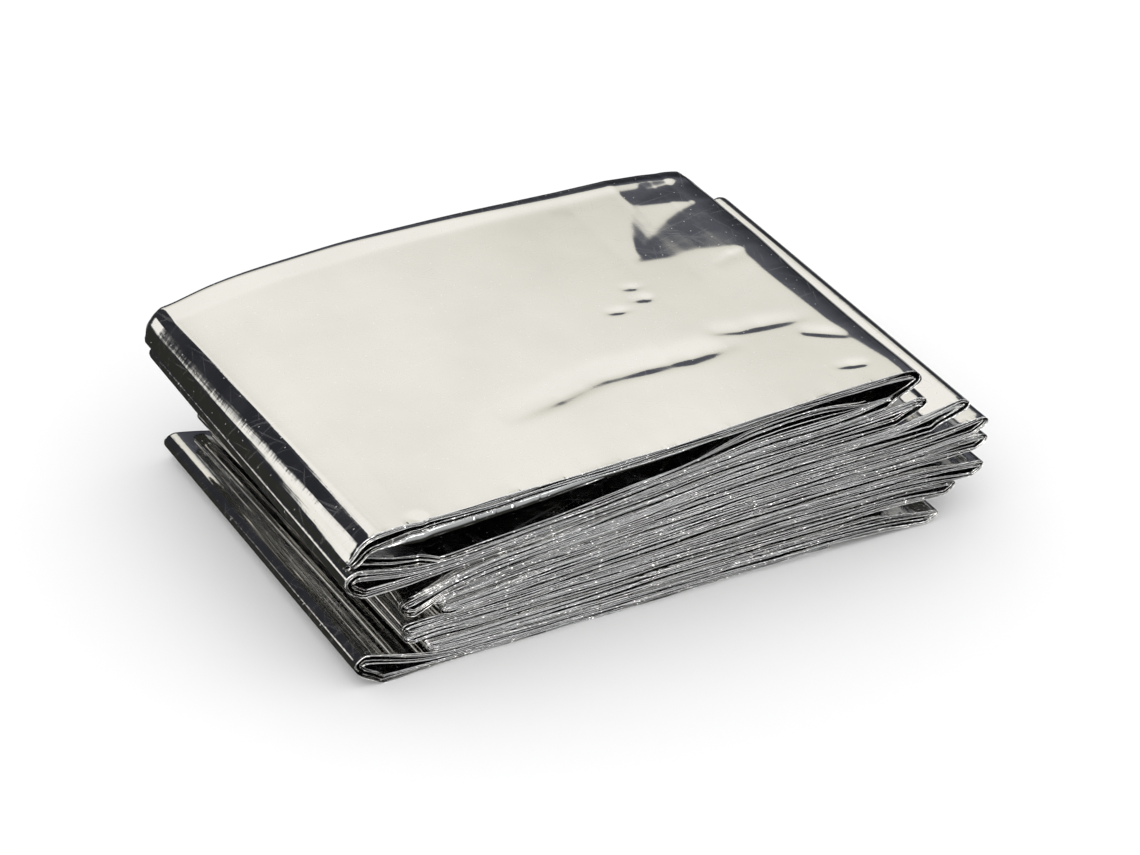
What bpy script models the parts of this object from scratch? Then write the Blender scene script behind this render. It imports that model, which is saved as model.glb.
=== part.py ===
# Folded emergency foil blanket: one long film, folded lengthwise to a narrow
# strip and then back and forth into a springy stack of eighteen panels.
# Metres, +Z up. X runs along the panels, Y from the front edges to the back,
# and the origin is on the floor under the middle of the stack.

import bpy
import bmesh

MM = 0.001

# Driving dimensions, in millimetres
STRIP_DEPTH = 82.5
STACK_LENGTH = 132.0
BUNDLE_THICKNESS = 1.0
LAYER_GAP = 0.3
SETTLE_LENGTH = 18.0
BOTTOM_END_X = 98.0
INNER_END_X = 109.0

# Mesh density
DEPTH_STEPS = 6
PANEL_STEPS = 12

# Middle of the whole outline, from the left side and from the front plane
CENTRE_X = 65.55
CENTRE_Y = 41.40

# One row for each fold, in the order of the film from the floor up.
# Heights and reaches are in millimetres from the floor and from the left side,
# first at the front edge and then at the back edge.
# rise is the height between the two legs, slant how far the lower leg turns
# in behind the upper one, thick the thickness of the bundle at the fold, and
# shift how far the strip stands back from the front plane there.
FOLD_COLUMNS = ("name", "side", "front_x", "front_z", "back_x", "back_z",
                "front_rise", "back_rise", "slant", "thick", "shift")
FOLD_ROWS = (
    ("left_8", -1, 1.7, 3.6, 2.4, 2.8, 5.8, 4.2, 3.4, 1.1, -0.5),
    ("right_8", 1, 120.8, 1.2, 122.0, 1.6, 1.3, 1.4, 1.6, 1.0, -0.7),
    ("left_7", -1, 15.5, 4.0, 12.5, 3.8, 1.4, 1.4, 0.8, 1.0, -0.6),
    ("right_7", 1, 125.3, 5.4, 126.0, 6.4, 1.6, 1.8, 1.2, 1.0, 0.8),
    ("left_6", -1, 11.8, 5.8, 10.0, 5.6, 1.5, 1.6, 0.8, 1.0, 0.8),
    ("right_6", 1, 130.3, 9.0, 129.4, 10.6, 1.8, 2.0, 1.4, 1.1, -0.6),
    ("left_5", -1, 11.2, 8.8, 10.8, 8.6, 1.5, 1.8, 0.9, 1.0, 0.2),
    ("right_5", 1, 131.7, 13.6, 130.6, 15.2, 2.0, 2.2, 1.4, 1.1, 0.9),
    ("left_4", -1, 18.0, 10.4, 15.0, 12.6, 1.5, 1.8, 0.9, 1.0, -0.5),
    ("right_4", 1, 130.3, 18.4, 129.6, 20.2, 2.2, 2.4, 1.8, 1.2, -0.2),
    ("left_3", -1, 16.5, 12.4, 14.0, 15.8, 1.5, 1.8, 1.0, 1.0, 0.7),
    ("right_3", 1, 126.5, 22.0, 125.4, 25.4, 4.4, 3.6, 6.4, 1.2, 0.4),
    ("left_2", -1, 10.2, 14.6, 13.0, 18.8, 2.0, 2.0, 1.0, 1.0, -0.6),
    ("right_2", 1, 117.4, 24.6, 118.0, 28.6, 3.6, 3.2, 4.8, 1.2, 0.9),
    ("left_1", -1, 1.0, 20.0, 0.9, 21.6, 5.0, 3.8, 1.4, 1.1, 1.0),
    ("right_0", 1, 115.0, 30.3, 115.2, 33.4, 5.8, 5.6, 5.0, 1.4, 0.3),
    ("left_0", -1, 0.5, 26.8, -0.3, 28.2, 5.0, 5.4, 0.6, 2.6, 0.0),
)

# Free height of one level of the stack along X, at the front and at the back
PITCH_COLUMNS = ("x", "front", "back")
PITCH_ROWS = (
    (10.0, 1.31, 1.45),
    (41.0, 1.42, 1.58),
    (80.0, 1.69, 1.80),
    (108.0, 1.74, 1.92),
)

# Upper surface of the top panel along X, at the front and at the back
TOP_COLUMNS = ("x", "front", "back")
TOP_ROWS = (
    (8.0, 30.5, 32.4),
    (20.0, 30.1, 34.6),
    (41.0, 30.6, 36.5),
    (62.0, 31.4, 36.9),
    (85.0, 32.7, 36.7),
    (112.0, 33.8, 36.3),
)

# Levels count upwards from the floor. The film climbs from level 0 to level 15,
# goes over the top as level 17 and tucks back in under it as level 16.
FILM_ORDER = tuple(range(16)) + (17, 16)
TOP_LEVEL = 17

FILM_COLOUR = (0.80, 0.79, 0.76, 1.0)
FILM_ROUGHNESS = 0.12


def named_rows(columns, rows):
    return [dict(zip(columns, row)) for row in rows]


FOLDS = named_rows(FOLD_COLUMNS, FOLD_ROWS)
PITCH = named_rows(PITCH_COLUMNS, PITCH_ROWS)
TOP = named_rows(TOP_COLUMNS, TOP_ROWS)


def clear_scene():
    for old in list(bpy.data.objects):
        bpy.data.objects.remove(old, do_unlink=True)


def mix(low, high, share):
    return low + (high - low) * share


def read_table(table, x, depth):
    """Value at x, between the rows, at a depth from 0 (front) to 1 (back)."""
    values = [mix(row["front"], row["back"], depth) for row in table]
    if x <= table[0]["x"]:
        return values[0]
    for index in range(1, len(table)):
        if x <= table[index]["x"]:
            span = table[index]["x"] - table[index - 1]["x"]
            share = (x - table[index - 1]["x"]) / span
            return mix(values[index - 1], values[index], share)
    return values[-1]


class Section:
    """The film's centre line across the stack at one depth."""

    def __init__(self, depth):
        self.depth = depth
        self.folds = [self.fold_at(row) for row in FOLDS]
        self.panels = {}
        for order, level in enumerate(FILM_ORDER):
            self.panels[level] = self.panel_ends(order, level)

    def fold_at(self, row):
        """Upper and lower corner of a fold at this depth."""
        x = mix(row["front_x"], row["back_x"], self.depth)
        z = mix(row["front_z"], row["back_z"], self.depth)
        rise = mix(row["front_rise"], row["back_rise"], self.depth)
        inset = min(0.35 * rise, 1.1) + 0.1
        half = row["thick"] / 2
        upper_x = x - row["side"] * (half + max(-row["slant"], 0))
        lower_x = x - row["side"] * (half + max(row["slant"], 0))
        return {"side": row["side"], "upper_x": upper_x, "lower_x": lower_x,
                "upper_z": z + rise / 2, "lower_z": z - rise / 2, "inset": inset,
                "thick": row["thick"], "shift": row["shift"]}

    def leg(self, fold, upper):
        """Where a panel runs into a fold: x, height, thickness and shift."""
        key = "upper" if upper else "lower"
        x = fold[key + "_x"] - fold["side"] * fold["inset"]
        return {"x": x, "z": fold[key + "_z"], "thick": fold["thick"],
                "shift": fold["shift"], "tip": fold[key + "_x"]}

    def free_end(self, x, level):
        return {"x": x, "z": self.rest_height(level, x), "thick": BUNDLE_THICKNESS,
                "shift": 0.3, "tip": x}

    def panel_ends(self, order, level):
        """Start and end of one panel, in the film's own direction."""
        previous = self.folds[order - 1] if order > 0 else None
        following = self.folds[order] if order < len(self.folds) else None
        if previous is None:
            start = self.free_end(BOTTOM_END_X, level)
        else:
            start = self.leg(previous, upper=level != 16)
        if following is None:
            end = self.free_end(INNER_END_X, level)
        else:
            end = self.leg(following, upper=level == TOP_LEVEL)
        return start, end

    def rest_height(self, level, x):
        if level == TOP_LEVEL:
            return read_table(TOP, x, self.depth) - self.top_thickness(x) / 2
        pitch = read_table(PITCH, x, self.depth)
        return BUNDLE_THICKNESS / 2 + level * pitch

    def top_thickness(self, x):
        """The top panel is puffed up at its left end and tighter at its right."""
        left = FOLDS[-1]["thick"]
        right = FOLDS[-2]["thick"]
        share = min(max(x / STACK_LENGTH, 0), 1)
        return mix(left, right, share)

    def thickness(self, level, x):
        start, end = self.panels[level]
        share = (x - start["x"]) / (end["x"] - start["x"])
        share = min(max(share, 0), 1)
        if level == TOP_LEVEL:
            return self.top_thickness(x)
        near_start = max(1 - share * 5, 0)
        near_end = max(1 - (1 - share) * 5, 0)
        extra_start = (start["thick"] - BUNDLE_THICKNESS) * near_start
        extra_end = (end["thick"] - BUNDLE_THICKNESS) * near_end
        return BUNDLE_THICKNESS + extra_start + extra_end

    def covers(self, level, x):
        tips = [end["tip"] for end in self.panels[level]]
        margin = BUNDLE_THICKNESS
        return min(tips) - margin <= x <= max(tips) + margin

    def wanted_height(self, level, x):
        """Free height of a panel, bent near each end to meet its fold."""
        if level == 0:
            return BUNDLE_THICKNESS / 2
        height = self.rest_height(level, x)
        for end in self.panels[level]:
            distance = min(abs(x - end["x"]) / SETTLE_LENGTH, 1)
            pull = (1 - distance) ** 2
            height += pull * (end["z"] - self.rest_height(level, end["x"]))
        return height

    def height(self, level, x):
        """The wanted height, or more where a lower panel holds this one up."""
        height = self.wanted_height(level, x)
        half = self.thickness(level, x) / 2
        height = max(height, half)
        for lower in range(level - 1, -1, -1):
            if self.covers(lower, x):
                rest = self.height(lower, x) + self.thickness(lower, x) / 2
                return max(height, rest + LAYER_GAP + half)
        return height

    def panel_points(self, level):
        """Points of one panel, closer together near its ends."""
        start, end = self.panels[level]
        points = []
        for step in range(PANEL_STEPS + 1):
            share = step / PANEL_STEPS
            eased = 0.45 * share + 0.55 * share * share * (3 - 2 * share)
            x = mix(start["x"], end["x"], eased)
            shift = mix(start["shift"], end["shift"], share)
            points.append((x, self.height(level, x), self.thickness(level, x), shift))
        return points

    def fold_points(self, order, before, after):
        """Two creases and a rounded middle between one panel and the next."""
        fold = self.folds[order]
        side = fold["side"]
        rises = after[1] > before[1]
        first = "lower" if rises else "upper"
        second = "upper" if rises else "lower"
        drop = after[1] - before[1]
        bulge = side * min(0.14 * abs(drop), 0.8)
        middle_x = (fold["upper_x"] + fold["lower_x"]) / 2 + bulge
        thick = fold["thick"]
        shift = fold["shift"]
        return [
            (fold[first + "_x"], before[1] + 0.22 * drop, thick, shift),
            (middle_x, before[1] + 0.5 * drop, thick, shift),
            (fold[second + "_x"], after[1] - 0.22 * drop, thick, shift),
        ]

    def film_points(self):
        """The whole centre line, from the bottom free end to the inner one."""
        runs = [self.panel_points(level) for level in FILM_ORDER]
        points = list(runs[0])
        for order in range(len(self.folds)):
            points += self.fold_points(order, runs[order][-1], runs[order + 1][0])
            points += runs[order + 1]
        return points


def build_film():
    """The film strip as a folded grid with a thickness at each point."""
    mesh = bmesh.new()
    rows = []
    thicknesses = []
    for station in range(DEPTH_STEPS + 1):
        depth = station / DEPTH_STEPS
        row = []
        for x, z, thick, shift in Section(depth).film_points():
            place = (x - CENTRE_X, depth * STRIP_DEPTH + shift - CENTRE_Y, z)
            row.append(mesh.verts.new([value * MM for value in place]))
            thicknesses.append(thick)
        rows.append(row)
    for front, back in zip(rows, rows[1:]):
        for index in range(len(front) - 1):
            mesh.faces.new((front[index], front[index + 1], back[index + 1], back[index]))
    data = bpy.data.meshes.new("foil_blanket")
    mesh.to_mesh(data)
    mesh.free()
    data.shade_smooth()
    return data, thicknesses


def film_material():
    material = bpy.data.materials.new("aluminised_film")
    material.use_nodes = True
    shader = material.node_tree.nodes["Principled BSDF"]
    shader.inputs["Base Color"].default_value = FILM_COLOUR
    shader.inputs["Metallic"].default_value = 1.0
    shader.inputs["Roughness"].default_value = FILM_ROUGHNESS
    material.diffuse_color = FILM_COLOUR
    return material


def build_blanket():
    data, thicknesses = build_film()
    blanket = bpy.data.objects.new("foil_blanket", data)
    bpy.context.collection.objects.link(blanket)
    data.materials.append(film_material())

    thickest = max(thicknesses)
    group = blanket.vertex_groups.new(name="bundle_thickness")
    for index, thick in enumerate(thicknesses):
        group.add([index], thick / thickest, "REPLACE")

    solid = blanket.modifiers.new("Bundle thickness", "SOLIDIFY")
    solid.thickness = thickest * MM
    solid.offset = 0.0
    solid.use_even_offset = True
    solid.use_quality_normals = True
    solid.vertex_group = group.name
    return blanket


clear_scene()
build_blanket()
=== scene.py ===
import math

import bpy
import bmesh
import numpy as np
from mathutils import Matrix, Vector


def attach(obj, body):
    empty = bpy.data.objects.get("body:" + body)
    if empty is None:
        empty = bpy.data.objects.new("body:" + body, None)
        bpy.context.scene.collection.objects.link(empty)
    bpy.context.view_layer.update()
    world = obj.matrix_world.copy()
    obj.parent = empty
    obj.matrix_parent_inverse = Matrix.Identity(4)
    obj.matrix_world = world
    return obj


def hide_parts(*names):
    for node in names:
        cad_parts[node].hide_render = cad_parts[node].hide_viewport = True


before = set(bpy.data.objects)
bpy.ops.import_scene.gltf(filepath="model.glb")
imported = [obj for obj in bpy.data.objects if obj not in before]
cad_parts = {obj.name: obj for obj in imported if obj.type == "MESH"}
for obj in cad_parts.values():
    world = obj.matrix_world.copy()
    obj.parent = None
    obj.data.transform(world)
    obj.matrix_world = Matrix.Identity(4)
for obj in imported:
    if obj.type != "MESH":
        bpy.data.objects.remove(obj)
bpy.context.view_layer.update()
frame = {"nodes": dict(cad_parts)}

mm = 0.001  # the fold tables below are in millimetres
print("frame loaded:", ", ".join(frame["nodes"]))


# The film: one sheet, folded lengthwise to a strip, then back and forth

film = {
    "layers": 16,  # layers of film in the folded strip
    "stripDepth": 82.5,  # width of the strip
    "bundle": 1.0,  # free thickness of the sixteen layers
    "gap": 0.11,  # air between two panels that lie on each other
    "loosest": 1.75,  # most that a loose bundle fills between its neighbours
    "settle": 18.0,  # length over which a panel bends to meet its fold
    "topSoftness": 3.5,  # how far the corners of each height along the panels are rounded
    "restSoftness": 1.6,
    "looseSoftness": 2.5,
    "thinnest": 0.5,  # least thickness of a loose bundle
    "offFloor": 0.03,
    "openAbove": 99.0,  # stands for the height of what lies above where nothing does
    "freeShift": 0.3,  # shift and split of the bundle at a free end
    "freeSplit": 0.3,
    "panelSplit": 0.06,
    "endShare": 6,  # a panel takes on its fold's thickness over a sixth of its length
    "turnShare": 0.35,  # how far before a fold's corner its panel starts to turn: this share of
    "turnMost": 1.3,  # the fold's rise, no more than this, and this much on top
    "turnLeast": 0.1,
    "rollNarrows": 0.5,  # how much less the rolled fold at the top left turns at the back
    "bulgeShare": 0.16,  # how far a fold bulges out: this share of its drop, and no more than this
    "bulgeMost": 0.9,
    "creaseShare": 0.2,  # height of a fold's outer creases, as a share of its drop
    "bottomEnd": 98.0,  # where the free end of the lowest panel stops
    "innerEnd": 108.6,  # where the end tucked in under the top panel stops
    "middle": (65.55, 41.40),  # middle of the outline, from the left and from the front
    "panelSteps": 62,
    "topSteps": 230,
    "tuckSteps": 76,
    "foldSteps": 22,
    "stations": 9,  # sections worked out across the strip
}

# One row for each fold, in the order of the film from the floor up: the place of its tip
# at the front and the back, and its rise there from one leg to the other. slant is how
# far one leg's corner stands back, the lower one's when positive. upThick and lowThick
# are the bundle's thickness on its two legs, split is the share of it taken by the air
# between its two halves, shift is how far the fold lies towards the back, and roll is how
# long the turn of a rolled fold is.
foldColumns = ("name", "side", "frontX", "frontZ", "backX", "backZ", "frontRise", "backRise",
               "slant", "upThick", "lowThick", "split", "shift", "roll")
foldRows = (
    ("left8", -1, 1.7, 3.6, 2.4, 2.8, 5.8, 4.2, 3.4, 2.1, 1.7, 0.25, -0.5, 0),
    ("right8", 1, 120.8, 1.2, 122.0, 1.6, 1.5, 1.4, 1.6, 1.0, 1.0, 0.10, -0.7, 0),
    ("left7", -1, 15.5, 4.0, 12.5, 3.8, 1.4, 1.4, 0.8, 1.0, 1.0, 0.10, -0.6, 0),
    ("right7", 1, 125.3, 5.4, 126.0, 6.4, 1.8, 1.8, 1.2, 1.0, 1.0, 0.15, 0.8, 0),
    ("left6", -1, 11.8, 5.6, 10.0, 5.6, 1.5, 1.6, 0.8, 1.0, 1.0, 0.10, 0.8, 0),
    ("right6", 1, 130.3, 9.0, 129.4, 10.6, 2.2, 2.0, 1.4, 1.1, 1.1, 0.15, -0.6, 0),
    ("left5", -1, 11.2, 8.6, 10.8, 8.6, 1.5, 1.8, 0.9, 1.0, 1.0, 0.10, 0.2, 0),
    ("right5", 1, 131.7, 13.6, 130.6, 15.2, 2.4, 2.2, 1.4, 1.1, 1.1, 0.15, 0.9, 0),
    ("left4", -1, 18.0, 9.6, 15.0, 12.6, 1.5, 1.8, 0.9, 1.0, 1.0, 0.10, -0.5, 0),
    ("right4", 1, 130.3, 18.4, 129.6, 20.2, 2.6, 2.4, 1.8, 1.2, 1.1, 0.20, -0.2, 0),
    ("left3", -1, 16.5, 11.6, 14.0, 15.8, 1.5, 1.8, 1.0, 1.0, 1.0, 0.10, 0.7, 0),
    ("right3", 1, 126.5, 22.0, 125.4, 25.4, 4.6, 3.6, 6.4, 1.7, 1.5, 0.35, 0.4, 0),
    ("left2", -1, 10.2, 13.2, 13.0, 18.8, 3.0, 2.2, 1.0, 1.5, 1.5, 0.20, -0.6, 0),
    ("right2", 1, 117.4, 24.6, 118.0, 28.6, 3.8, 3.2, 4.8, 1.7, 1.5, 0.35, 0.9, 0),
    ("left1", -1, 1.0, 19.8, 0.9, 21.6, 5.2, 3.8, 1.4, 1.9, 1.9, 0.20, 1.0, 0),
    ("right0", 1, 115.0, 30.3, 115.2, 33.4, 5.8, 5.6, 5.0, 1.7, 1.9, 0.40, 0.3, 0),
    ("left0", -1, 0.4, 26.9, -0.1, 28.4, 5.2, 5.4, 0.9, 3.6, 1.4, 0.30, 0.0, 4.6),
)

# Creases of the fold at the top left: how far each lies from the fold's corner towards
# the panel, at the front and the back, its share of the fold's drop, and of its thinning
rollCreases = (
    (0.62, 0.60, 0.10, 0.14, 0.1),
    (0.42, 0.30, 0.24, 0.28, 0.2),
    (0.10, -0.05, 0.62, 0.46, 0.4),
    (-0.16, -0.28, 0.88, 0.82, 0.7),
    (-0.20, -0.42, 1.02, 1.03, 0.9),
)

# Free height of one level along the stack
pitchColumns = ("x", "front", "back")
pitchRows = (
    (10.0, 1.22, 1.42),
    (41.0, 1.40, 1.56),
    (80.0, 1.68, 1.78),
    (108.0, 1.74, 1.92),
)

# Upper face of the top panel, and the thickness of its bundle
topColumns = ("x", "front", "back", "frontThick", "backThick")
topRows = (
    (4.0, 30.2, 31.6, 3.8, 2.2),
    (10.0, 30.5, 33.4, 4.4, 2.2),
    (20.0, 30.2, 34.9, 4.4, 2.2),
    (41.0, 30.7, 36.6, 3.4, 2.0),
    (62.0, 31.4, 37.1, 2.3, 1.8),
    (85.0, 32.8, 36.8, 1.6, 1.6),
    (112.0, 33.8, 36.4, 1.8, 1.6),
)
thinsBy = 2.2  # how much faster the top bundle thins towards the back than its height changes

# Where the tucked-in end fans out in front until it meets the top panel
tuckFan = {"x": (68.0, 79.0, 95.0, 104.0), "share": (0.0, 0.92, 0.92, 0.0), "reach": 0.30}

topLevel = 17
tuckLevel = 16
levelOrder = tuple(range(tuckLevel)) + (topLevel, tuckLevel)  # from the floor up, over the top, in under it


def namedRows(columns, rows):
    return [dict(zip(columns, row)) for row in rows]


folds = namedRows(foldColumns, foldRows)
pitches = namedRows(pitchColumns, pitchRows)
tops = namedRows(topColumns, topRows)
gridStep = 0.5
gridX = np.arange(-4.0, 136.01, gridStep)


def mix(low, high, share):
    return low + (high - low) * share


def soften(values, reach):
    # rounds the corners of a height read along gridX, reach in mm
    count = int(3 * reach / gridStep)
    steps = np.arange(-count, count + 1) * gridStep
    weights = np.exp(-0.5 * (steps / reach) ** 2)
    padded = np.pad(values, count, mode="edge")
    slope = (values[-1] - values[-2]) * np.arange(1, count + 1)
    padded[-count:] = values[-1] + slope
    return np.convolve(padded, weights / weights.sum(), mode="valid")


def lookUp(rows, front, back, depth, reach=5.0):
    # a table's value along gridX at a depth from 0 (front) to 1 (back)
    x = [row["x"] for row in rows]
    values = [mix(row[front], row[back], depth) for row in rows]
    return soften(np.interp(gridX, x, values), reach)


def foldAt(row, depth):
    # corners of one fold: where each leg turns, its height and its thickness
    x = mix(row["frontX"], row["backX"], depth)
    z = mix(row["frontZ"], row["backZ"], depth)
    rise = mix(row["frontRise"], row["backRise"], depth)
    half = 0.5 * film["bundle"]
    corners = {"side": row["side"], "shift": row["shift"], "split": row["split"], "roll": row["roll"],
               "depth": depth}
    for leg, sign, inset in (("up", 1, max(-row["slant"], 0)), ("low", -1, max(row["slant"], 0))):
        thick = row[leg + "Thick"]
        cornerX = x - row["side"] * (thick / 2 + inset)
        turn = min(film["turnShare"] * rise, film["turnMost"]) + film["turnLeast"]
        if leg == "up" and row["roll"]:
            turn = row["roll"] * (1 - film["rollNarrows"] * depth)
        corners[leg] = {
            "corner": cornerX,
            "x": cornerX - row["side"] * turn,
            "z": z + sign * (rise / 2 + half - thick / 2),
            "thick": thick,
        }
    return corners


def panelEnds(level, order, corners, rest):
    # where a panel starts and ends, in the film's own direction
    def free(x):
        z = float(np.interp(x, gridX, rest))
        return {"corner": x, "x": x, "z": z, "thick": film["bundle"],
                "shift": film["freeShift"], "split": film["freeSplit"]}

    def leg(fold, name):
        return {**fold[name], "shift": fold["shift"], "split": fold["split"]}

    if order == 0:
        start = free(film["bottomEnd"])
    else:
        start = leg(corners[order - 1], "low" if level == tuckLevel else "up")
    if order == len(corners):
        end = free(film["innerEnd"])
    else:
        end = leg(corners[order], "up" if level == topLevel else "low")
    return start, end


def stackSection(depth):
    # heights of every panel along gridX at one depth, each resting on those below
    corners = [foldAt(row, depth) for row in folds]
    pitch = lookUp(pitches, "front", "back", depth)
    topFace = lookUp(tops, "front", "back", depth, film["topSoftness"])
    topThick = lookUp(tops, "frontThick", "backThick", min(depth * thinsBy, 1.0), film["topSoftness"])
    surface = np.zeros_like(gridX)
    panels = {}
    for level in range(len(levelOrder)):
        order = levelOrder.index(level)
        if level == topLevel:
            thick = topThick
            rest = topFace - thick / 2
        else:
            thick = np.full_like(gridX, film["bundle"])
            rest = film["bundle"] / 2 + level * pitch
        start, end = panelEnds(level, order, corners, rest)
        wanted = rest.copy()
        for tip in (start, end):
            reach = np.clip(np.abs(gridX - tip["x"]) / film["settle"], 0, 1)
            side = 1 if tip["x"] > film["middle"][0] else -1
            reach = np.where((gridX - tip["x"]) * side > 0, 0, reach)
            wanted += (1 - reach) ** 2 * (tip["z"] - np.interp(tip["x"], gridX, rest))
        floor = surface + film["gap"] + thick / 2
        if level == 0:
            wanted = np.full_like(gridX, film["bundle"] / 2)
            floor = wanted
        z = soften(np.maximum(wanted, floor), film["restSoftness"])
        z = np.maximum(z, floor)
        low = min(start["corner"], end["corner"]) - film["bundle"]
        high = max(start["corner"], end["corner"]) + film["bundle"]
        covered = (gridX >= low) & (gridX <= high)
        surface = np.where(covered, z + thick / 2, surface)
        panels[level] = {"start": start, "end": end, "z": z, "thick": thick, "covered": covered}
    loosen(panels, depth)
    return corners, panels


def loosen(panels, depth):
    # a bundle swells until it almost meets its neighbours
    for level, panel in panels.items():
        if level == topLevel:
            continue
        above = np.full_like(gridX, film["openAbove"])
        below = np.full_like(gridX, -panel["z"][0])
        for other, near in panels.items():
            half = np.where(other == topLevel, near["thick"] / 2, 0)
            if other > level:
                above = np.where(near["covered"], np.minimum(above, near["z"] - half), above)
            if other < level:
                below = np.where(near["covered"], np.maximum(below, near["z"]), below)
        air = film["gap"] / 2
        top = np.minimum(panel["z"] + film["loosest"] / 2, (panel["z"] + above) / 2 - air)
        if level == tuckLevel:
            top = np.minimum(panel["z"] + film["loosest"] / 2, above - 2 * air)
            fanned = np.interp(gridX, tuckFan["x"], tuckFan["share"]) * max(1 - depth / tuckFan["reach"], 0)
            top = mix(top, above - 2 * air, fanned)
        base = np.maximum(panel["z"] - film["loosest"] / 2, (panel["z"] + below) / 2 + air)
        if level == 0:
            base = np.full_like(gridX, film["offFloor"])
        thick = np.maximum(top - base, film["thinnest"])
        panel["loose"] = [soften(values, film["looseSoftness"]) for values in ((top + base) / 2, thick)]
    for level, panel in panels.items():
        if "loose" in panel:
            panel["z"], panel["thick"] = panel["loose"]


def easedSteps(count):
    # from 0 to 1, with closer steps at both ends
    share = np.linspace(0, 1, count + 1)
    return 0.4 * share + 0.6 * share * share * (3 - 2 * share)


def panelRun(level, panel):
    # columns of a run: x, z, thickness, split, shift
    start, end = panel["start"], panel["end"]
    steps = {topLevel: film["topSteps"], tuckLevel: film["tuckSteps"]}.get(level, film["panelSteps"])
    share = easedSteps(steps)
    x = mix(start["x"], end["x"], share)
    z = np.interp(x, gridX, panel["z"])
    thick = np.interp(x, gridX, panel["thick"])
    nearStart = np.clip(1 - share * film["endShare"], 0, 1) ** 2
    nearEnd = np.clip(1 - (1 - share) * film["endShare"], 0, 1) ** 2
    thick = thick + (start["thick"] - thick[0]) * nearStart + (end["thick"] - thick[-1]) * nearEnd
    flat = film["panelSplit"]
    split = flat + (start["split"] - flat) * nearStart + (end["split"] - flat) * nearEnd
    shift = mix(start["shift"], end["shift"], share)
    return np.stack([x, z, thick, split, shift], 1)


def splineThrough(points, count, rounding=0.5):
    # centripetal curve through the middle points, count steps in all
    points = np.asarray(points)
    lengths = np.linalg.norm(np.diff(points[:, :2], axis=0), axis=1) ** rounding
    knots = np.concatenate([[0], np.cumsum(np.maximum(lengths, 1e-4))])
    result = []
    for t in np.linspace(knots[1], knots[-2], count + 1)[1:-1]:
        i = int(np.clip(np.searchsorted(knots, t) - 1, 1, len(points) - 3))
        t0, t1, t2, t3 = knots[i - 1:i + 3]
        p0, p1, p2, p3 = points[i - 1:i + 3]
        a1 = (t1 - t) / (t1 - t0) * p0 + (t - t0) / (t1 - t0) * p1
        a2 = (t2 - t) / (t2 - t1) * p1 + (t - t1) / (t2 - t1) * p2
        a3 = (t3 - t) / (t3 - t2) * p2 + (t - t2) / (t3 - t2) * p3
        b1 = (t2 - t) / (t2 - t0) * a1 + (t - t0) / (t2 - t0) * a2
        b2 = (t3 - t) / (t3 - t1) * a2 + (t - t1) / (t3 - t1) * a3
        result.append((t2 - t) / (t2 - t1) * b1 + (t - t1) / (t2 - t1) * b2)
    return np.array(result)


def foldRun(corners, before, after):
    # from the end of one panel round two creases to the start of the next
    here, there = before[-1], after[0]
    first, second = ("low", "up") if there[1] > here[1] else ("up", "low")
    drop = there[1] - here[1]
    bulge = corners["side"] * min(film["bulgeShare"] * abs(drop), film["bulgeMost"])
    middleX = (corners[first]["corner"] + corners[second]["corner"]) / 2 + bulge
    creases = [
        [corners[first]["corner"], here[1] + film["creaseShare"] * drop, 0.25],
        [middleX, here[1] + 0.5 * drop, 0.5],
        [corners[second]["corner"], there[1] - film["creaseShare"] * drop, 0.75],
    ]
    if corners["roll"] and first == "up":
        creases = []
        for frontX, backX, frontDrop, backDrop, share in rollCreases:
            away = mix(frontX, backX, corners["depth"]) * (here[0] - corners[first]["corner"])
            fall = mix(frontDrop, backDrop, corners["depth"]) * drop
            creases.append([corners[first]["corner"] + away, here[1] + fall, share])
    middle = [[x, z] + list(mix(here[2:], there[2:], share)) for x, z, share in creases]
    points = [before[-2], here] + middle + [there, after[1]]
    return splineThrough(points, film["foldSteps"])


def filmSection(depth):
    # the whole centre line at one depth, and where each panel and fold starts
    corners, panels = stackSection(depth)
    runs = [panelRun(level, panels[level]) for level in levelOrder]
    parts, marks, count = [], [], 0
    for order, level in enumerate(levelOrder):
        marks.append((level, count, count + len(runs[order])))
        parts.append(runs[order])
        count += len(runs[order])
        if order < len(corners):
            bend = foldRun(corners[order], runs[order], runs[order + 1])
            parts.append(bend)
            count += len(bend)
    return np.concatenate(parts), marks


sections = [filmSection(step / (film["stations"] - 1)) for step in range(film["stations"])]
centreLines = np.stack([section[0] for section in sections])  # station, point, column
panelMarks = sections[0][1]
middleLine = centreLines[film["stations"] // 2]
filmRun = np.concatenate([[0], np.cumsum(np.linalg.norm(np.diff(middleLine[:, :2], axis=0), axis=1))])
bendRun = np.ones(len(filmRun))  # 1 in the folds, 0 in the panels
topRun = np.zeros(len(filmRun))  # 1 in the top panel, fading out in its folds
tuckRun = np.zeros(len(filmRun))  # 1 in the tucked-in end, fading out in its fold
bendReach = 1.0  # how far the creases of a fold reach into its panels
tuckBlend = 8  # steps over which the fold of the tucked-in end fades out
for level, begin, end in panelMarks:
    if level == topLevel:
        fade = np.clip(1.5 - np.arange(1, film["foldSteps"]) / film["foldSteps"] * 2.0, 0, 1)
        topRun[begin:end] = 1
        topRun[end:end + len(fade)] = fade
        topRun[begin - len(fade):begin] = fade[::-1]
    if level == tuckLevel:
        tuckRun[begin:end] = 1
        tuckRun[begin - tuckBlend:begin] = np.linspace(0, 1, tuckBlend)
    fromEnd = np.minimum(filmRun[begin:end] - filmRun[begin], filmRun[end - 1] - filmRun[begin:end])
    bendRun[begin:end] = np.exp(-fromEnd / bendReach)
print("film path:", len(filmRun), "points,", round(filmRun[-1]), "mm long")


# Across the strip: sixteen layers, joined in loops at the front and at the back

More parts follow.
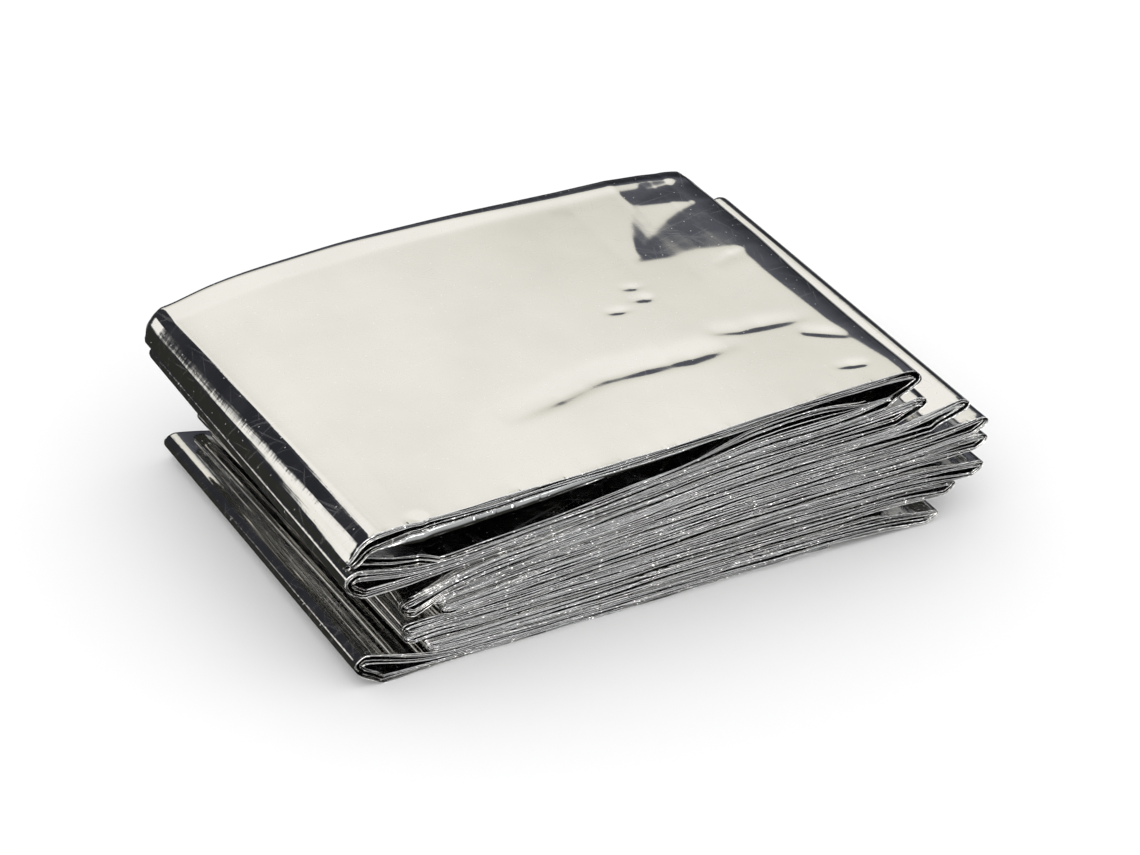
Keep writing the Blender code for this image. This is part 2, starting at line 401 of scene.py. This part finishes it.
across = {
    "stops": (0.15, 0.5, 1.3, 3.5, 9.0, 24.0, 46.0, 66.0, 77.0, 80.9, 82.2),
    "fineStops": 196,  # stops in the upper face of the top panel
    "groups": 4,  # the loops lie together in groups, with air between
    "groupFill": 0.62,
    "foldFill": 0.50,
    "ribbon": 0.40,  # share of the top bundle that its lowest loop opens to, near the left
    "setBack": (0.10, 0.0, 0.50, 0.28, 0.0, 0.42, 0.20, 0.0, 0.0),  # how far each loop stands back
    "setBackReach": 3.0,
    "sink": 0.60,  # how far the layers inside the top panel lie under its upper face
    "sinkFront": (2.0, 5.0),  # from this far behind the front, over this length
    "sinkBack": (1.6, 3.0),
    "ribbonEnds": (7.0, 6.0, 75.0, 30.0),  # where the lowest loop's opening starts and ends, and how fast
    "recess": 1.9,  # how far the tucked-in end stands back at the left
    "recessEnd": (17.5, 1.2),
    "recessReach": 6.0,
    "loopBack": 0.1,  # how far the loops at the back stay behind the outer layer
    "loopLength": 0.1,  # film taken by one loop
    "lowest": 0.02,
    "wrap": ((14.6, 0.25), (13.0, 0.55), (10.0, 0.75), (6.5, 0.70), (3.5, 0.45), (1.5, 0.15)),
}


def acrossLayout(fine):
    # layer position and distance from the front, for each point across the film
    layer, depth = [], []
    plain = list(across["stops"])
    dense = list(film["stripDepth"] * easedSteps(across["fineStops"])[1:-1])
    for index in range(film["layers"]):
        stops = dense if fine and index == film["layers"] - 1 else plain
        toFront = index % 2 == 0
        stops = stops[::-1] if toFront else stops
        layer += [float(index)] * len(stops)
        depth += stops
        if index < film["layers"] - 1:
            layer.append(index + 0.5)
            depth.append(0.0 if toFront else film["stripDepth"] - across["loopBack"])
    for position, beyond in across["wrap"]:  # the outer layer turns down over the back
        layer.append(position)
        depth.append(film["stripDepth"] + beyond)
    return np.array(layer), np.array(depth)


def blendStations(values, share):
    # smooth curve through the stations, read at each share of the depth
    count = len(values)
    place = np.clip(share, 0, 1) * (count - 1)
    index = np.clip(place.astype(int), 0, count - 2)
    t = (place - index)[None, :, None]
    padded = np.concatenate([2 * values[:1] - values[1:2], values, 2 * values[-1:] - values[-2:-1]])
    p0, p1, p2, p3 = (np.moveaxis(padded[index + k], 0, 1) for k in range(4))
    return 0.5 * (2 * p1 + (p2 - p0) * t + (2 * p0 - 5 * p1 + 4 * p2 - p3) * t * t
                  + (3 * p1 - p0 - 3 * p2 + p3) * t ** 3)


def ripple(position, lengths, seed):
    # a smooth uneven line: sines of these lengths, with phases drawn from the seed
    draw = np.random.default_rng(seed)
    total = np.zeros_like(position)
    for length in lengths:
        stretch = length * draw.uniform(0.85, 1.18)
        total += np.sin(2 * math.pi * (position / stretch + draw.random())) * draw.uniform(0.6, 1.0)
    return total / math.sqrt(len(lengths))


crinkle = {
    "edgeStep": 0.30,  # how unevenly the loops end at the front
    "edgeWave": 0.05,
    "edgeReach": 9.0,
    "drift": 0.045,  # how far the loops wander towards each other
    "driftReach": 14.0,
    "flutter": 0.018,  # fine waves of the loose edges
    "flutterReach": 3.5,
    "stepLengths": (170.0, 60.0, 23.0),  # wave lengths along the film, in mm
    "waveLengths": (31.0, 12.0, 6.0),
    "driftLengths": (140.0, 55.0, 27.0),
    "flutterLengths": (14.0, 7.5, 4.6),
}
# each kind of unevenness, with the first seed of its draws
loopRipples = (("stepLengths", 100), ("waveLengths", 200), ("driftLengths", 300), ("flutterLengths", 400))

# Soft troughs in the upper face: places from the left and the front, in mm, and
# their depths at even steps along the line
dents = (
    {"line": ((80.4, 46.5), (82.8, 46.1)), "depth": (0.07, 0.12, 0.04), "width": 0.60},
    {"line": ((79.6, 42.4), (82.0, 42.0)), "depth": (0.04, 0.10, 0.17), "width": 0.65},
    {"line": ((74.0, 40.6), (77.0, 40.1)), "depth": (0.09, 0.14, 0.05), "width": 0.60},
    {"line": ((88.1, 26.7), (92.0, 25.4), (96.0, 25.1), (104.0, 24.1)),
     "depth": (0.09, 0.12, 0.12, 0.15, 0.20, 0.16, 0.05), "width": 1.15},
    {"line": ((40.0, 18.8), (52.4, 21.2), (61.8, 23.4)),
     "depth": (0.0, 0.12, 0.27, 0.24, 0.14), "width": 1.8},
    {"line": ((58.0, 23.2), (71.5, 22.7), (79.4, 21.9), (87.1, 22.1)),
     "depth": (0.0, 0.20, 0.31, 0.21, 0.31, 0.25, 0.08), "width": 1.8},
    {"line": ((102.7, 19.4), (107.8, 16.0)), "depth": (0.10, 0.15, 0.08), "width": 0.9},
    {"line": ((102.0, 6.9), (105.6, 6.1)), "depth": (0.06, 0.14, 0.10), "width": 0.7},
    {"line": ((112.0, 49.5), (104.0, 48.4), (99.0, 46.2)), "depth": (0.0, 0.10, 0.0), "width": 1.0},
    {"line": ((14.0, -2.0), (14.8, 0.2)), "depth": (0.3, 0.3), "width": 0.9},
)
farSide = 2.2  # a trough is this much wider behind its line

# Where the upper face tips over to the right, by distance from the front
rollOff = {
    "y": (0.0, 5.8, 8.7, 15.3, 22.8, 32.5, 42.3, 50.3, 56.0, 66.0, 70.0, 83.0),
    "x": (111.2, 110.8, 110.3, 109.0, 108.2, 107.4, 106.7, 107.0, 108.0, 108.5, 109.0, 109.5),
    "slope": 0.10,
    "further": 0.032,  # how much more it tips with each mm
    "softness": 0.35,
}
# Along its back edge: behind y it climbs a little, and from the rim on it falls
backCrease = {"y": 78.0, "softness": 0.5, "slope": -0.10, "rimSlope": 0.27, "rimSoftness": 0.3,
              "rimX": (0.0, 40.0, 70.0, 105.0, 118.0), "rimY": (82.0, 81.8, 81.2, 80.2, 79.6)}
# Towards the right it lies this much higher at the back than at the front
lift = {"x": (60.0, 85.0, 95.0, 105.0, 115.0), "height": (0.0, 0.15, 0.4, 0.85, 1.1), "y": (12.0, 78.0)}

# Waves across the upper face near its far right corner: by distance from the left, the
# places from the front where each starts to fall, where it turns and where it is done
waves = (
    {"x": (86.0, 88.5, 91.0, 93.5, 97.0, 100.0, 104.5, 108.0, 118.0),
     "crest": (53.6, 53.2, 52.8, 52.4, 52.6, 52.4, 51.0, 50.3, 50.0),
     "trough": (53.7, 55.4, 58.4, 60.8, 63.8, 65.8, 68.3, 69.3, 69.8),
     "end": (72.0, 72.0, 72.0, 72.0, 72.2, 71.8, 71.3, 70.2, 69.9),
     "fall": 0.062, "climb": 0.075},
    {"x": (97.5, 100.0, 102.5, 105.5, 108.5, 118.0),
     "crest": (72.2, 72.0, 71.6, 71.2, 70.2, 69.9),
     "trough": (72.3, 74.4, 76.2, 77.4, 78.4, 81.0),
     "end": (81.5, 81.5, 81.5, 81.5, 81.5, 82.0),
     "fall": 0.060, "climb": 0.07},
)
waveSoftness = 0.45


def lineDistance(x, y, line):
    # distance to a broken line, which side of it from -1 (in front) to 1 (behind), and
    # the share of the line that lies before the nearest place
    nearest = np.full(x.shape, 1e3)
    side, share = np.zeros(x.shape), np.zeros(x.shape)
    for index, ((ax, ay), (bx, by)) in enumerate(zip(line, line[1:])):
        span = math.hypot(bx - ax, by - ay)
        along = np.clip(((x - ax) * (bx - ax) + (y - ay) * (by - ay)) / span ** 2, 0, 1)
        away = np.hypot(x - ax - along * (bx - ax), y - ay - along * (by - ay))
        behind = ((y - ay) * (bx - ax) - (x - ax) * (by - ay)) / span
        side = np.where(away < nearest, behind / np.maximum(away, 1e-6), side)
        share = np.where(away < nearest, (index + along) / (len(line) - 1), share)
        nearest = np.minimum(nearest, away)
    return nearest, np.clip(side, -1, 1), share


def bendStart(distance, softness):
    # nothing before the bend, then a straight slope after it
    return softness * np.logaddexp(0, distance / softness)


def cornerWaves(x, y):
    # each wave slopes down to its trough and climbs again as far as there is room
    height = np.zeros_like(x)
    for wave in waves:
        crest, trough, end = (np.interp(x, wave["x"], wave[key]) for key in ("crest", "trough", "end"))
        end = np.clip(trough + (trough - crest) * wave["fall"] / wave["climb"], trough, end)
        past = [bendStart(y - place, waveSoftness) for place in (crest, trough, end)]
        height -= wave["fall"] * (past[0] - past[1])
        height += wave["climb"] * (past[1] - past[2])
    return height


def upperFaceRelief(x, y):
    relief = cornerWaves(x, y)
    for dent in dents:
        distance, side, share = lineDistance(x, y, dent["line"])
        width = dent["width"] * mix(1.0, farSide, 0.5 + 0.5 * side)
        depth = np.interp(share, np.linspace(0, 1, len(dent["depth"])), dent["depth"])
        relief -= depth * np.exp(-(distance / width) ** 2)
    past = bendStart(x - np.interp(y, rollOff["y"], rollOff["x"]), rollOff["softness"])
    relief -= rollOff["slope"] * past + rollOff["further"] / 2 * past * past
    relief -= backCrease["slope"] * bendStart(y - backCrease["y"], backCrease["softness"])
    rimStart = np.interp(x, backCrease["rimX"], backCrease["rimY"])
    relief -= backCrease["rimSlope"] * bendStart(y - rimStart, backCrease["rimSoftness"])
    share = np.clip((y - lift["y"][0]) / (lift["y"][1] - lift["y"][0]), 0, 1)
    relief += np.interp(x, lift["x"], lift["height"]) * share * share * (3 - 2 * share)
    return relief


def foldedPoints(first, last, layer, depth):
    # the folded place of every point of one length of film
    lines = blendStations(centreLines[:, first:last], depth / film["stripDepth"])
    x, z, thick, split, shift = np.moveaxis(lines, 2, 0)
    run = filmRun[first:last][:, None]

    alongX, alongZ = np.gradient(x, axis=0), np.gradient(z, axis=0)
    length = np.maximum(np.hypot(alongX, alongZ), 1e-6)
    normalX, normalZ = alongZ / length, -alongX / length

    inGroup = (layer + 0.5) / film["layers"] * across["groups"]
    group = np.clip(np.floor(inGroup), 0, across["groups"] - 1)
    fill = mix(across["groupFill"], across["foldFill"], bendRun[first:last])[:, None]
    spread = (group + 0.5 + (inGroup - group - 0.5) * fill) / across["groups"] - 0.5
    opened = across["ribbon"] * topRun[first:last][:, None]
    left, leftLength, right, rightLength = across["ribbonEnds"]
    opened = opened * np.clip((right - x) / rightLength, 0, 1) * np.clip((x - left) / leftLength, 0, 1)
    spread = np.where(layer >= 1, 0.5 - (0.5 - spread) * (1 - opened), spread)
    halves = np.clip((layer - (film["layers"] - 1) / 2) * 2, -1, 1) * 0.5
    offset = thick * (split * halves + (1 - split) * spread)

    pair = np.floor(layer / 2 + 0.25).astype(int)
    toFront = np.clip(depth, 0, None)
    y = depth + shift
    for index in range(film["layers"] // 2 + 1):
        mine = (pair == index)[None, :]
        step, wave, drift, flutter = (ripple(run, crinkle[key], seed + index) for key, seed in loopRipples)
        y = y + mine * across["setBack"][index] * np.exp(-toFront / across["setBackReach"])
        y = y + mine * (crinkle["edgeStep"] * step + crinkle["edgeWave"] * wave) * np.exp(
            -toFront / crinkle["edgeReach"])
        offset = offset + mine * crinkle["drift"] * drift * np.exp(-toFront / crinkle["driftReach"])
        offset = offset + mine * crinkle["flutter"] * flutter * np.exp(-toFront / crinkle["flutterReach"])
    recessEnd, recessLength = across["recessEnd"]
    recess = tuckRun[first:last][:, None] * np.clip((recessEnd - x) / recessLength, 0, 1)
    y = y + across["recess"] * recess * np.exp(-toFront / across["recessReach"])
    x = x + normalX * offset
    z = z + normalZ * offset

    z = z + topRun[first:last][:, None] * upperFaceRelief(x, np.minimum(y, film["stripDepth"]))
    sinkFront, frontLength = across["sinkFront"]
    sinkBack, backLength = across["sinkBack"]
    inside = np.clip((depth - sinkFront) / frontLength, 0, 1)
    inside = inside * np.clip((film["stripDepth"] - sinkBack - depth) / backLength, 0, 1)
    below = np.where(layer < film["layers"] - 1.4, layer / film["layers"], 0)  # all but the uppermost layer
    z = z - topRun[first:last][:, None] * across["sink"] * inside * below
    z = np.maximum(z, across["lowest"])
    middleX, middleY = film["middle"]
    return np.stack([x - middleX, y - middleY, z], 2)


rimReach = 0.5  # how far back from the front the crumples of the loops reach


def filmPiece(name, first, last, fine, material):
    layer, depth = acrossLayout(fine)
    folded = foldedPoints(first, last, layer, depth) * mm
    rows, columns = folded.shape[:2]

    mesh = bmesh.new()
    bmesh.ops.create_grid(mesh, x_segments=columns - 1, y_segments=rows - 1, size=0.5, calc_uvs=False)
    data = bpy.data.meshes.new(name)
    mesh.to_mesh(data)
    mesh.free()

    flat = np.empty(len(data.vertices) * 3, dtype=np.float32)
    data.vertices.foreach_get("co", flat)
    flat = flat.reshape(-1, 3) + 0.5
    column = np.rint(flat[:, 0] * (columns - 1)).astype(int)
    row = np.rint(flat[:, 1] * (rows - 1)).astype(int)
    data.vertices.foreach_set("co", folded[row, column].astype(np.float32).ravel())

    stretches = np.abs(np.diff(depth)) + across["loopLength"] * np.abs(np.diff(layer))
    acrossRun = np.concatenate([[0], np.cumsum(stretches)])
    corner = np.empty(len(data.loops), dtype=np.int32)
    data.loops.foreach_get("vertex_index", corner)
    places = np.stack([acrossRun[column[corner]], filmRun[first:last][row[corner]]], 1) * mm
    for label, values in (("bend", bendRun[first:last][row]), ("rim", np.exp(-depth / rimReach)[column])):
        attribute = data.attributes.new(label, "FLOAT", "POINT")
        attribute.data.foreach_set("value", values.astype(np.float32))
    layerUv = data.uv_layers.new(name="filmPlace")
    layerUv.data.foreach_set("uv", places.astype(np.float32).ravel())

    data.shade_smooth()
    data.update()
    data.materials.append(material)
    piece = bpy.data.objects.new(name, data)
    bpy.context.scene.collection.objects.link(piece)
    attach(piece, "root")
    return piece


# Finish of the film

finish = {
    "colour": (0.905, 0.90, 0.885, 1.0),
    "duller": (0.87, 0.865, 0.85, 1.0),
    "roughness": (0.03, 0.12),
    "scratchDull": 0.05,  # share of light that these scatter
    "speckDull": 0.55,
    "scratch": 0.0000005,  # heights in metres
    "speck": 0.000004,
    "grain": 0.0000018,
    "waves": 0.00004,
    "creases": 0.000045,
    "ripples": 0.000016,
    "streaks": 0.000030,
    "glints": 0.00006,
    "crumples": 0.00013,
    # faint scratches: how fine, how short, which way in degrees and how rare
    "scratches": ((1500, 0.03, 14, 0.69), (1700, 0.035, 68, 0.70), (1600, 0.03, -37, 0.69),
                  (1800, 0.04, 101, 0.70)),
}


def mathSteps(nodes, links):
    # a function that adds one step of sums to a tree, on sockets or plain numbers
    def combine(operation, *values):
        step = nodes.new("ShaderNodeMath")
        step.operation = operation
        for socket, value in zip(step.inputs, values):
            if isinstance(value, (int, float)):
                socket.default_value = value
            else:
                links.new(value, socket)
        return step.outputs["Value"]

    return combine


def filmMaterial():
    material = bpy.data.materials.new("aluminised film")
    material.use_nodes = True
    nodes, links = material.node_tree.nodes, material.node_tree.links
    shader = nodes["Principled BSDF"]
    place = nodes.new("ShaderNodeUVMap")
    place.uv_map = "filmPlace"
    combine = mathSteps(nodes, links)

    def placed(stretch, turn):
        mapping = nodes.new("ShaderNodeMapping")
        mapping.vector_type = "TEXTURE"
        mapping.inputs["Scale"].default_value = (1 / stretch[0], 1 / stretch[1], 1)
        mapping.inputs["Rotation"].default_value = (0, 0, math.radians(turn))
        links.new(place.outputs["UV"], mapping.inputs["Vector"])
        return mapping.outputs["Vector"]

    def noise(scale, stretch=(1, 1), detail=4.0, turn=0):
        texture = nodes.new("ShaderNodeTexNoise")
        texture.noise_dimensions = "2D"
        texture.inputs["Scale"].default_value = scale
        texture.inputs["Detail"].default_value = detail
        links.new(placed(stretch, turn), texture.inputs["Vector"])
        return texture.outputs["Fac"]

    def dots(scale, size):
        texture = nodes.new("ShaderNodeTexVoronoi")
        texture.voronoi_dimensions = "2D"
        texture.inputs["Scale"].default_value = scale
        links.new(placed((1, 1), 0), texture.inputs["Vector"])
        return ramp(texture.outputs["Distance"], size, 0.3 * size)

    def ramp(value, low, high, first=0.0, last=1.0):
        span = nodes.new("ShaderNodeMapRange")
        span.inputs["From Min"].default_value = low
        span.inputs["From Max"].default_value = high
        span.inputs["To Min"].default_value = first
        span.inputs["To Max"].default_value = last
        links.new(value, span.inputs["Value"])
        return span.outputs["Result"]

    def attribute(name):
        reader = nodes.new("ShaderNodeAttribute")
        reader.attribute_name = name
        return reader.outputs["Fac"]

    tint = nodes.new("ShaderNodeMixRGB")
    tint.inputs["Color1"].default_value = finish["duller"]
    tint.inputs["Color2"].default_value = finish["colour"]
    links.new(ramp(noise(55, detail=3.0), 0.3, 0.6), tint.inputs["Fac"])
    links.new(tint.outputs["Color"], shader.inputs["Base Color"])
    scratches = 0.0
    for scale, short, turn, rare in finish["scratches"]:
        drawn = ramp(noise(scale, (1.0, short), 2.0, turn), rare, rare + 0.04)
        scratches = combine("MAXIMUM", scratches, drawn)
    specks = dots(240, 0.035)
    haze = ramp(noise(140, detail=6.0), 0.35, 0.75, *finish["roughness"])
    links.new(haze, shader.inputs["Roughness"])
    scattered = combine("MULTIPLY", scratches, finish["scratchDull"])
    scattered = combine("MULTIPLY_ADD", specks, finish["speckDull"], scattered)
    links.new(combine("SUBTRACT", 1.0, scattered), shader.inputs["Metallic"])

    bend, rim = attribute("bend"), attribute("rim")
    # the loops in front are crumpled in stretches, and in the folds at both sides
    crumpled = combine("MULTIPLY", combine("MAXIMUM", ramp(noise(45, (0.5, 1.0), 2.0), 0.57, 0.69), bend),
                       ramp(noise(480, (0.35, 1.0), 2.0), 0.40, 0.60))
    reliefs = [
        (scratches, finish["scratch"], None),
        (specks, finish["speck"], None),
        (noise(3200, detail=2.0), finish["grain"], None),
        (noise(55, detail=2.0), finish["waves"], None),
        (noise(900, (0.03, 1.0), 3.0), finish["creases"], bend),
        (noise(620, (1.0, 0.25), 2.0), finish["ripples"], bend),
        (noise(160, (0.3, 1.0), 3.0), finish["streaks"], rim),
        (ramp(noise(300, (0.4, 1.0), 2.0), 0.60, 0.67), finish["glints"], rim),
        (crumpled, finish["crumples"], rim),
    ]
    height = 0.0
    for pattern, depth, where in reliefs:
        if where is not None:
            pattern = combine("MULTIPLY", pattern, where)
        height = combine("MULTIPLY_ADD", pattern, depth, height)
    bump = nodes.new("ShaderNodeBump")
    bump.inputs["Strength"].default_value = 1.0
    bump.inputs["Distance"].default_value = 1.0
    links.new(height, bump.inputs["Height"])
    links.new(bump.outputs["Normal"], shader.inputs["Normal"])
    return material


foil = filmMaterial()


def panelMiddle(level):
    for mark, begin, end in panelMarks:
        if mark == level:
            return (begin + end) // 2
    return 0


cuts = [0, panelMiddle(5), panelMiddle(10), panelMiddle(15), panelMiddle(topLevel), panelMiddle(tuckLevel),
        len(filmRun) - 1]
names = ("film_lowest_panels", "film_lower_panels", "film_upper_panels", "film_top_right", "film_top_left",
         "film_tucked_end")
for index, name in enumerate(names):
    filmPiece(name, cuts[index], cuts[index + 1] + 1, name.startswith("film_top"), foil)
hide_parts("foil_blanket")
print("film folded")


# Floor, light and camera

studio = {
    "floor": (0.96, 0.96, 0.96, 1.0),
    "sky": (1.12, 1.12, 1.12),
    "above": (0.022, 0.023, 0.028),  # what the film mirrors between the soft boxes
    "below": (0.026, 0.026, 0.023),
    "horizon": (-6, 3),  # in degrees, where the one gives way to the other
}

# Soft boxes that the film mirrors: heading counted from +Y towards +X, height
# over the horizon, half widths and soft edge in degrees, light low down and high up.
# climb says between which heights the light changes, lean slopes the upper and lower
# edge, and skew the sides.
softboxes = (
    {"name": "around it", "heading": 26, "height": 40, "wide": 28, "high": 23, "edge": 10,
     "climb": (10.0, 31.0), "low": (0.035, 0.037, 0.045), "glow": (0.100, 0.105, 0.125)},
    {"name": "ceiling", "heading": 0, "height": 90, "wide": 190, "high": 24, "edge": 8,
     "low": (0.40, 0.40, 0.41), "glow": (0.55, 0.55, 0.56)},
    {"name": "low behind", "heading": 40, "height": -13, "wide": 62, "high": 7, "edge": 4,
     "low": (0.26, 0.265, 0.27), "glow": (0.36, 0.365, 0.37)},
    {"name": "room in front", "heading": 172, "height": 28, "wide": 55, "high": 36, "edge": 10,
     "low": (0.28, 0.285, 0.29), "glow": (0.42, 0.425, 0.43)},
    {"name": "behind right", "heading": 22.8, "height": 46.2, "wide": 24.8, "high": 17.2, "edge": 1.5,
     "lean": 0.15, "skew": 0.35, "climb": (31.0, 42.0), "low": (0.70, 0.68, 0.605),
     "glow": (0.95, 0.925, 0.875)},
    {"name": "behind left", "heading": -54, "height": 15, "wide": 15.5, "high": 8, "edge": 1.4,
     "low": (0.90, 0.885, 0.82), "glow": (0.97, 0.95, 0.90)},
    {"name": "left", "heading": -112, "height": 40, "wide": 36, "high": 24, "edge": 5.0,
     "low": (0.8, 0.8, 0.78), "glow": (1.0, 1.0, 0.97)},
    {"name": "low left", "heading": -105, "height": 4, "wide": 34, "high": 6, "edge": 4.0,
     "low": (0.35, 0.35, 0.34), "glow": (0.4, 0.4, 0.39)},
    {"name": "right", "heading": 86, "height": 30, "wide": 12, "high": 20, "edge": 4.0,
     "low": (0.8, 0.8, 0.8), "glow": (0.9, 0.9, 0.9)},
    {"name": "in front", "heading": 196, "height": -12, "wide": 50, "high": 28, "edge": 12.0,
     "low": (0.32, 0.33, 0.34), "glow": (0.41, 0.42, 0.43)},
    {"name": "front right", "heading": 138, "height": 47, "wide": 34, "high": 24, "edge": 6.0,
     "low": (0.48, 0.49, 0.50), "glow": (0.64, 0.65, 0.66)},
    {"name": "front left", "heading": -155, "height": 26, "wide": 24, "high": 18, "edge": 5.0,
     "low": (1.0, 1.0, 1.0), "glow": (1.3, 1.3, 1.3)},
    {"name": "strip at the right", "heading": 120, "height": 5, "wide": 6, "high": 40, "edge": 2.0,
     "low": (4.2, 4.2, 4.2), "glow": (4.2, 4.2, 4.2)},
    {"name": "strip in front", "heading": 178, "height": 0, "wide": 6, "high": 38, "edge": 2.0,
     "low": (4.2, 4.2, 4.2), "glow": (4.2, 4.2, 4.2)},
    {"name": "front window", "heading": 141, "height": 49, "wide": 17, "high": 10, "edge": 2.5,
     "low": (2.4, 2.45, 2.5), "glow": (2.4, 2.45, 2.5)},
)


def addFloor():
    mesh = bmesh.new()
    bmesh.ops.create_grid(mesh, x_segments=1, y_segments=1, size=3.0)
    data = bpy.data.meshes.new("studio_floor")
    mesh.to_mesh(data)
    mesh.free()
    floor = bpy.data.objects.new("studio_floor", data)
    bpy.context.scene.collection.objects.link(floor)
    material = bpy.data.materials.new("pale floor")
    material.use_nodes = True
    shader = material.node_tree.nodes["Principled BSDF"]
    shader.inputs["Base Color"].default_value = studio["floor"]
    shader.inputs["Roughness"].default_value = 0.9
    shader.inputs["Specular IOR Level"].default_value = 0.0
    data.materials.append(material)
    floor.visible_glossy = False


def addWorld():
    # white to the eye and to the floor; the film mirrors dark walls with soft boxes
    world = bpy.data.worlds.new("studio")
    world.use_nodes = True
    nodes, links = world.node_tree.nodes, world.node_tree.links
    background = nodes["Background"]
    combine = mathSteps(nodes, links)

    def within(value, middle, half, edge):
        away = combine("ABSOLUTE", combine("WRAP", combine("SUBTRACT", value, math.radians(middle)),
                                           math.pi, -math.pi))
        span = nodes.new("ShaderNodeMapRange")
        span.interpolation_type = "SMOOTHSTEP"
        span.inputs["From Min"].default_value = math.radians(half + edge)
        span.inputs["From Max"].default_value = math.radians(half - edge)
        links.new(away, span.inputs["Value"])
        return span.outputs["Result"]

    def blend(amount, first, second):
        mixer = nodes.new("ShaderNodeMix")
        mixer.data_type = "RGBA"
        sockets = (mixer.inputs[0], mixer.inputs[6], mixer.inputs[7])
        for socket, value in zip(sockets, (amount, first, second)):
            if isinstance(value, tuple):
                socket.default_value = (*value, 1.0)
            elif isinstance(value, (int, float)):
                socket.default_value = value
            else:
                links.new(value, socket)
        return mixer.outputs[2]

    place = nodes.new("ShaderNodeTexCoord")
    axes = nodes.new("ShaderNodeSeparateXYZ")
    links.new(place.outputs["Generated"], axes.inputs["Vector"])
    heading = combine("ARCTAN2", axes.outputs["X"], axes.outputs["Y"])
    height = combine("ARCSINE", axes.outputs["Z"])

    horizon = nodes.new("ShaderNodeMapRange")
    horizon.inputs["From Min"].default_value = math.radians(studio["horizon"][0])
    horizon.inputs["From Max"].default_value = math.radians(studio["horizon"][1])
    links.new(height, horizon.inputs["Value"])
    mirrored = blend(horizon.outputs["Result"], studio["below"], studio["above"])
    for box in softboxes:
        lean = combine("MULTIPLY", combine("SUBTRACT", heading, math.radians(box["heading"])),
                       box.get("lean", 0.0))
        skew = combine("MULTIPLY", combine("SUBTRACT", height, math.radians(box["height"])),
                       box.get("skew", 0.0))
        beside = within(combine("SUBTRACT", heading, skew), box["heading"], box["wide"], box["edge"])
        above = within(combine("SUBTRACT", height, lean), box["height"], box["high"], box["edge"])
        lit = combine("MULTIPLY", beside, above)
        climb = nodes.new("ShaderNodeMapRange")
        low, high = box.get("climb", (box["height"] - 0.7 * box["high"], box["height"]))
        climb.inputs["From Min"].default_value = math.radians(low)
        climb.inputs["From Max"].default_value = math.radians(high)
        links.new(height, climb.inputs["Value"])
        mirrored = blend(lit, mirrored, blend(climb.outputs["Result"], box["low"], box["glow"]))

    ray = nodes.new("ShaderNodeLightPath")
    links.new(blend(ray.outputs["Is Glossy Ray"], studio["sky"], mirrored), background.inputs["Color"])
    bpy.context.scene.world = world


view = {
    "heading": -30.2,  # where the camera stands in degrees, from -Y towards -X when negative
    "height": 31.18,
    "roll": 2.05,
    "distance": 0.606,  # in metres
    "target": (-0.00075, -0.0029, 0.0137),
    "lens": 104.4,
}


def addCamera():
    turn, lift, roll = (math.radians(view[key]) for key in ("heading", "height", "roll"))
    back = Vector((math.sin(turn) * math.cos(lift), -math.cos(turn) * math.cos(lift), math.sin(lift)))
    right = (-back).cross(Vector((0, 0, 1))).normalized()
    up = right.cross(-back)
    tiltedRight = right * math.cos(roll) + up * math.sin(roll)
    tiltedUp = up * math.cos(roll) - right * math.sin(roll)
    place = Matrix((tiltedRight, tiltedUp, back)).transposed().to_4x4()
    place.translation = Vector(view["target"]) + back * view["distance"]
    lens = bpy.data.cameras.new("photo view")
    lens.lens = view["lens"]
    lens.sensor_width = 36.0
    lens.clip_start = 0.01
    camera = bpy.data.objects.new("photo view", lens)
    camera.matrix_world = place
    bpy.context.scene.collection.objects.link(camera)
    bpy.context.scene.camera = camera


addFloor()
addWorld()
addCamera()
bpy.context.scene.view_settings.view_transform = "Standard"
print("studio ready")
